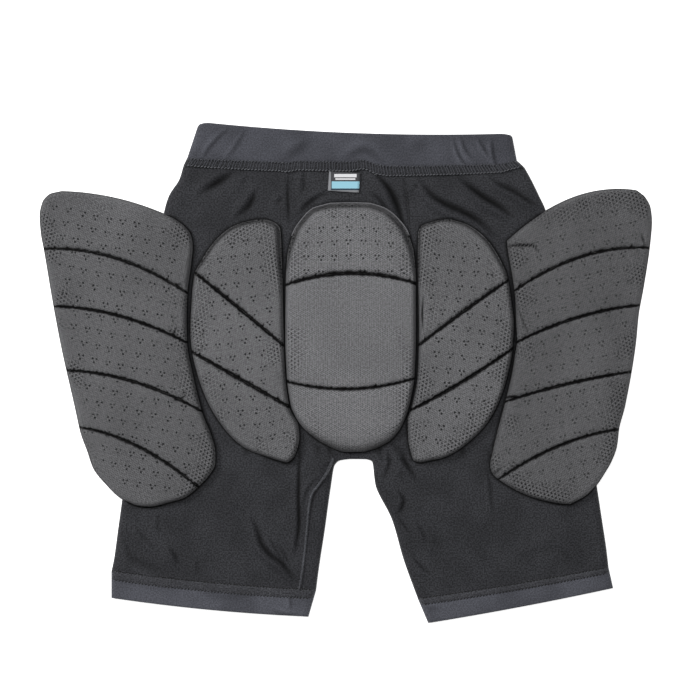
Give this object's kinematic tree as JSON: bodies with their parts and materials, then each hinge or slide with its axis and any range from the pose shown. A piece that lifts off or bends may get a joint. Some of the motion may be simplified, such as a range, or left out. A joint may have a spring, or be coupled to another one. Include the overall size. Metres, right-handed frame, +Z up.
{
  "type": "padded_hip_protection_shorts",
  "caption": "Padded hip and tailbone protection shorts turned inside out and laid flat, back up, grey mesh-covered foam pads on dark stretch cloth.",
  "frame": {"origin": "the middle of the footprint, on the surface that the shorts lie on", "axes": "+Z is up, out of the back of the shorts, the shortest way through them; +X runs along the waistband across both hip pads, the longest way; +Y runs from the hems to the waist"},
  "size_m": [0.6142, 0.5024, 0.0247],
  "materials": {
    "jersey": "matte",
    "overlock": "matte",
    "band_knit": "matte",
    "padding": "matte",
    "label": "satin"
  },
  "bodies": {
    "root": {"front_panel": "jersey", "back_centre_panel": "jersey", "left_leg_panel": "jersey", "right_leg_panel": "jersey", "left_inner_leg_panel": "jersey", "right_inner_leg_panel": "jersey", "waist_seam": "overlock", "waistband": "band_knit", "left_hem_band": "band_knit", "right_hem_band": "band_knit", "tailbone_pad": "padding", "left_buttock_pad": "padding", "right_buttock_pad": "padding", "left_hip_pad": "padding", "right_hip_pad": "padding", "size_label": "label"}
  },
  "joints": []
}
